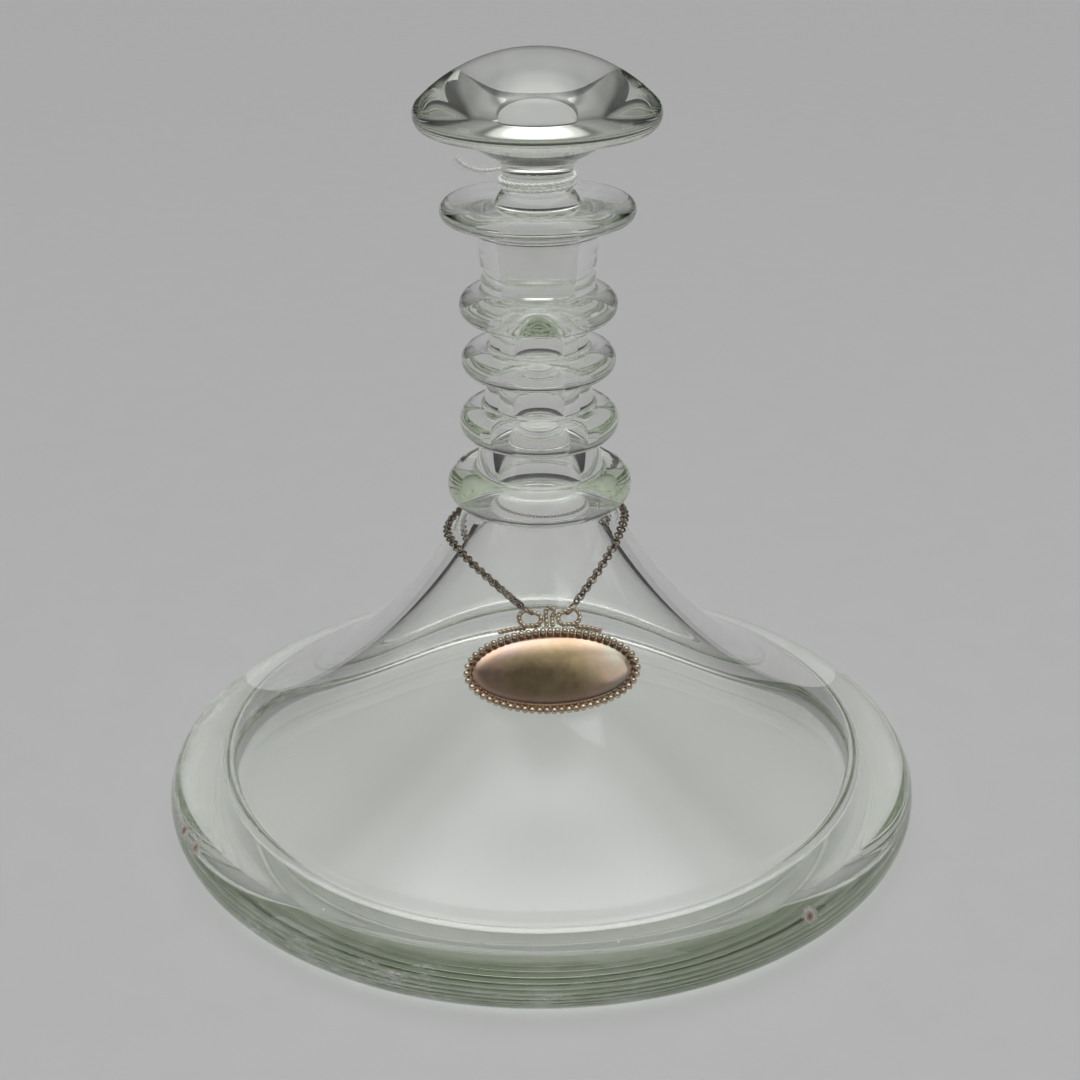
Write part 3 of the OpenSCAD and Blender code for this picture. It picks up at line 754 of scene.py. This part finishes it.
def loop_path(side):
    """A loop beside the knot: a round outer end, a smaller inner end, and a top that slopes between."""
    small = LOOP_BEND * 0.8
    outer = np.array([LOOP_X + LOOP_RUN / 2, LOOP_LOW + LOOP_BEND])
    inner = np.array([LOOP_X - LOOP_W / 2 + ROPE_D / 2 + small, LOOP_LOW + small])
    slope = 2 * angle_of(outer - inner)
    path = arc(outer, LOOP_BEND, -90, 90 + slope, 26) + arc(inner, small, 90 + slope, 270, 20)
    return [(side * x, y, BOW_Z) for x, y in path]


def through(points, n=48):
    """A smooth curve through points in space."""
    points = np.asarray(points, float)
    points = np.vstack([2 * points[0] - points[1], points, 2 * points[-1] - points[-2]])
    path = []
    for a, b, c, d in zip(points, points[1:], points[2:], points[3:]):
        path += bezier(b, b + (c - a) / 6, c - (d - b) / 6, c, max(2, n // (len(points) - 3)))[:-1]
    return path + [points[-2]]


def knot_paths():
    """The left strand stands up and curls over to the right; the right strand bends into its loop."""
    low, high = LOOP_LOW - ROPE_D / 4, HINGE_Y
    left = [(-0.8, low, BOW_Z), (-0.86, low + 1.6, BOW_Z + 0.1), (-0.9, high - 0.6, BOW_Z + 0.3),
            (-0.4, high + 0.2, BOW_Z + 0.7), (0.5, high + 0.25, BOW_Z + 1.0),
            (1.45, high - 0.45, BOW_Z + 1.0)]
    right = [(0.72, low, BOW_Z), (0.64, low + 1.2, BOW_Z + 0.1), (0.78, high - 1.7, BOW_Z + 0.1),
             (1.5, high - 0.95, BOW_Z + 0.1)]
    return [through(left), through(right)]


def tail_path(side):
    """A tail along the top of the border: it starts behind the loop; the left one ends a little off."""
    path = []
    for x in np.linspace(TAIL_FROM, TAIL_X, 25):
        a = math.acos(x / (LABEL_W / 2))
        rise = TAIL_LIFT * (x - TAIL_FROM) / (TAIL_X - TAIL_FROM) if side < 0 else 0.0
        out = unit([math.cos(a) / LABEL_W, math.sin(a) / LABEL_H]) * (ROPE_D / 2 + BOW_GAP + rise)
        p = oval(0, a) + out
        tuck = TAIL_TUCK * max(0.0, 1 - (x - TAIL_FROM) / 2.4)
        path.append((side * p[0], p[1], BOW_Z - tuck))
    return path


rope("bow_loop_rope_left", [loop_path(-1)], "bow_loop_left", loop=True)
rope("bow_loop_rope_right", [loop_path(1)], "bow_loop_right", loop=True)
rope("bow_knot_rope", knot_paths(), "bow_knot")
rope("bow_tail_rope", [tail_path(-1), tail_path(1)], "bow_tails")


# Chain: links on a taut line over the flank, from behind the neck to the jump rings

ring_at = on_label((RING_X, HINGE_Y + RING_LIFT, BOW_Z))
ring_psi = math.degrees(math.atan2(ring_at[0], -ring_at[1]))
ring_out = math.hypot(ring_at[0], ring_at[1])
chain_arc_r = FLANK_R - ((LINK_D - WIRE_D) / 2 * math.sin(math.radians(LINK_ROLL)) + WIRE_D / 2 + CHAIN_GAP)
strand_bend = math.degrees(math.acos(CHAIN_R / ring_out)) / (LEAVE_ANGLE - ring_psi)


def chain_height(r):
    return FLANK_C[1] - math.sqrt(chain_arc_r ** 2 - (FLANK_C[0] - r) ** 2)


strand_rise = ring_at[2] - chain_height(ring_out)


def chain_point(psi, side, lean=CHAIN_LEAN):
    """A point of the chain's line at an angle from the front; the whole loop leans to the left."""
    short = max(0.0, LEAVE_ANGLE - psi)
    between = min(1.0, max(0.0, (psi - ring_psi) / (180 - ring_psi)))
    r = CHAIN_R / math.cos(math.radians(strand_bend * short))
    r -= side * lean * math.sin(math.pi * between) ** 0.7
    lift = strand_rise * (short / (LEAVE_ANGLE - ring_psi)) ** 2
    a = math.radians(psi)
    return np.array([side * r * math.sin(a), -r * math.cos(a), chain_height(r) + lift])


def wire_ring(shape, centre, ahead, out, roll, outer_d, wire_d, sides=10, steps=36):
    """A ring of round wire whose plane holds the chain's heading, rolled about it."""
    t = unit(ahead)
    b = unit(np.cross(out, t))
    n = np.cross(t, b)
    roll = math.radians(roll)
    m = n * math.cos(roll) + b * math.sin(roll)
    k = np.cross(m, t)
    r = (outer_d - wire_d) / 2
    turns = np.linspace(0, 2 * math.pi, steps, endpoint=False)
    path = [centre + r * (t * math.cos(a) + k * math.sin(a)) for a in turns]
    shape.tube(path, wire_d / 2, sides, loop=True)


fine_psi = np.linspace(180, ring_psi, 721)
fine_line = np.array([chain_point(psi, 1, 0.0) for psi in fine_psi])
fine_along = np.concatenate([[0], np.cumsum(np.linalg.norm(np.diff(fine_line, axis=0), axis=1))])
link_pitch = 0.75 * LINK_D - WIRE_D
ring_reach = (RING_D - RING_WIRE_D) / 2 + (LINK_D - WIRE_D) / 2 - link_pitch / 2
half_links = round((fine_along[-1] - ring_reach) / link_pitch / 2) * 2
link_step = (fine_along[-1] - ring_reach) / half_links
front_from = math.ceil(half_links * FRONT_SHARE)


def link_psi(i):
    return float(np.interp(i * link_step, fine_along, fine_psi))


def link(shape, i, side):
    psi, near = link_psi(i), 0.6
    p = chain_point(psi, side)
    ahead = chain_point(psi - near, side) - chain_point(psi + near, side)
    r = math.hypot(p[0], p[1])
    out = unit([(FLANK_C[0] - r) * p[0] / r, (FLANK_C[0] - r) * p[1] / r, FLANK_C[1] - p[2]])
    wire_ring(shape, p, ahead, out, side * (LINK_ROLL if i % 2 == 0 else -LINK_ROLL), LINK_D, WIRE_D)


def dark_wire(name, shape, node):
    piece = shape.make(name, dark_silver)
    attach(piece, "chain")
    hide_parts(node)
    return piece


for side, word in ((-1, "left"), (1, "right")):
    strand = Shape()
    for i in range(front_from, half_links + 1):
        link(strand, i, side)
    dark_wire("chain_links_" + word, strand, "chain_" + word)
    hook = Shape()
    p = ring_at * np.array([side, 1, 1])
    before = chain_point(link_psi(half_links), side)
    flat_out = (0, -math.sin(label_tilt), math.cos(label_tilt))
    wire_ring(hook, p, p - before, flat_out, side * (RING_ROLL - 90), RING_D, RING_WIRE_D, 12, 56)
    dark_wire("jump_ring_wire_" + word, hook, "jump_ring_" + word)
behind = Shape()
link(behind, 0, 1)
for i in range(1, front_from):
    for side in (-1, 1):
        link(behind, i, side)
dark_wire("chain_links_back", behind, "chain_back")


# Floor, light and camera

FLOOR_GAP, FLOOR_HALF = 0.0004, 4.0
BACKDROP, SKY_TOP = 0.42, 2.3
SKY = [(0.0, 0.03), (0.14, 0.05), (0.36, 0.26), (0.66, 0.38), (0.77, 0.22), (0.86, 0.9), (0.97, SKY_TOP)]
CARD_UP, CARD_NEAR, CARD_FULL, CARD_SHADE = 48.0, 0.90, 0.97, 0.4
LIGHT_BOUNCES, GLASS_BOUNCES = 72, 64


def add_floor():
    half = FLOOR_HALF
    mesh = bpy.data.meshes.new("floor")
    corners = [(x, y, -FLOOR_GAP) for x, y in ((-half, -half), (half, -half), (half, half), (-half, half))]
    mesh.from_pydata(corners, [], [(0, 1, 2, 3)])
    mesh.materials.append(floor_paint())
    floor = bpy.data.objects.new("floor", mesh)
    bpy.context.scene.collection.objects.link(floor)


def softbox(name, place, aim, size, power):
    light = bpy.data.lights.new(name, "AREA")
    light.shape = "RECTANGLE"
    light.size, light.size_y = size
    light.energy = power
    lamp = bpy.data.objects.new(name, light)
    bpy.context.scene.collection.objects.link(lamp)
    lamp.location = place
    lamp.rotation_euler = (Vector(aim) - Vector(place)).to_track_quat("-Z", "Y").to_euler()


def sky():
    """Room light by height: dark horizon, soft bright zenith, dark card facing the label, pale backdrop."""
    world = bpy.data.worlds.new("studio")
    bpy.context.scene.world = world
    world.use_nodes = True
    tree = world.node_tree
    tree.nodes.clear()
    where = tree.nodes.new("ShaderNodeTexCoord")
    axes = tree.nodes.new("ShaderNodeSeparateXYZ")
    ramp = tree.nodes.new("ShaderNodeValToRGB")
    light = tree.nodes.new("ShaderNodeBackground")
    out = tree.nodes.new("ShaderNodeOutputWorld")
    light.inputs["Strength"].default_value = SKY_TOP
    ramp.color_ramp.interpolation = "EASE"
    while len(ramp.color_ramp.elements) < len(SKY):
        ramp.color_ramp.elements.new(0.5)
    for element, (height, level) in zip(ramp.color_ramp.elements, SKY):
        element.position = height
        element.color = (level / SKY_TOP, level / SKY_TOP, level / SKY_TOP, 1)
    tree.links.new(where.outputs["Generated"], axes.inputs[0])
    tree.links.new(axes.outputs["Z"], ramp.inputs["Fac"])
    towards = tree.nodes.new("ShaderNodeVectorMath")
    towards.operation = "DOT_PRODUCT"
    up = math.radians(CARD_UP)
    towards.inputs[1].default_value = (0, -math.cos(up), math.sin(up))
    tree.links.new(where.outputs["Generated"], towards.inputs[0])
    card = tree.nodes.new("ShaderNodeMapRange")
    card.interpolation_type = "SMOOTHSTEP"
    for index, number in zip(range(1, 5), (CARD_NEAR, CARD_FULL, 1.0, CARD_SHADE)):
        card.inputs[index].default_value = number
    tree.links.new(towards.outputs["Value"], card.inputs["Value"])
    shade = tree.nodes.new("ShaderNodeVectorMath")
    shade.operation = "SCALE"
    tree.links.new(ramp.outputs["Color"], shade.inputs[0])
    tree.links.new(card.outputs["Result"], shade.inputs["Scale"])
    tree.links.new(shade.outputs["Vector"], light.inputs["Color"])
    backdrop = tree.nodes.new("ShaderNodeBackground")
    backdrop.inputs["Color"].default_value = (BACKDROP, BACKDROP, BACKDROP, 1)
    rays = tree.nodes.new("ShaderNodeLightPath")
    seen = tree.nodes.new("ShaderNodeMixShader")
    tree.links.new(rays.outputs["Is Camera Ray"], seen.inputs["Fac"])
    tree.links.new(light.outputs[0], seen.inputs[1])
    tree.links.new(backdrop.outputs[0], seen.inputs[2])
    tree.links.new(seen.outputs[0], out.inputs["Surface"])


def add_camera():
    data = bpy.data.cameras.new("camera")
    data.lens, data.sensor_width, data.sensor_fit = LENS, SENSOR, "AUTO"
    data.clip_start = 0.01
    camera = bpy.data.objects.new("camera", data)
    bpy.context.scene.collection.objects.link(camera)
    turn = math.radians(CAMERA_TURN)
    camera.location = (-CAMERA_OUT * MM * math.sin(turn), -CAMERA_OUT * MM * math.cos(turn), CAMERA_UP * MM)
    heading = Euler((math.radians(90 - CAMERA_DOWN), 0, -turn)).to_matrix()
    camera.rotation_euler = (heading @ Matrix.Rotation(math.radians(-CAMERA_ROLL), 3, "Z")).to_euler()
    bpy.context.scene.camera = camera


add_floor()
sky()
softbox("left_strip", (-0.8, -0.25, 0.24), (0, 0, 0.1), (0.2, 0.32), 0.16)
softbox("right_strip", (0.8, -0.1, 0.24), (0, 0, 0.1), (0.2, 0.32), 0.14)
softbox("right_panel", (0.33, -0.61, 0.80), (0, 0, 0.06), (0.34, 0.4), 0.34)
add_camera()
bpy.context.scene.cycles.max_bounces = LIGHT_BOUNCES
bpy.context.scene.cycles.glossy_bounces = GLASS_BOUNCES
bpy.context.scene.cycles.transmission_bounces = GLASS_BOUNCES
bpy.context.scene.view_settings.view_transform = "Standard"
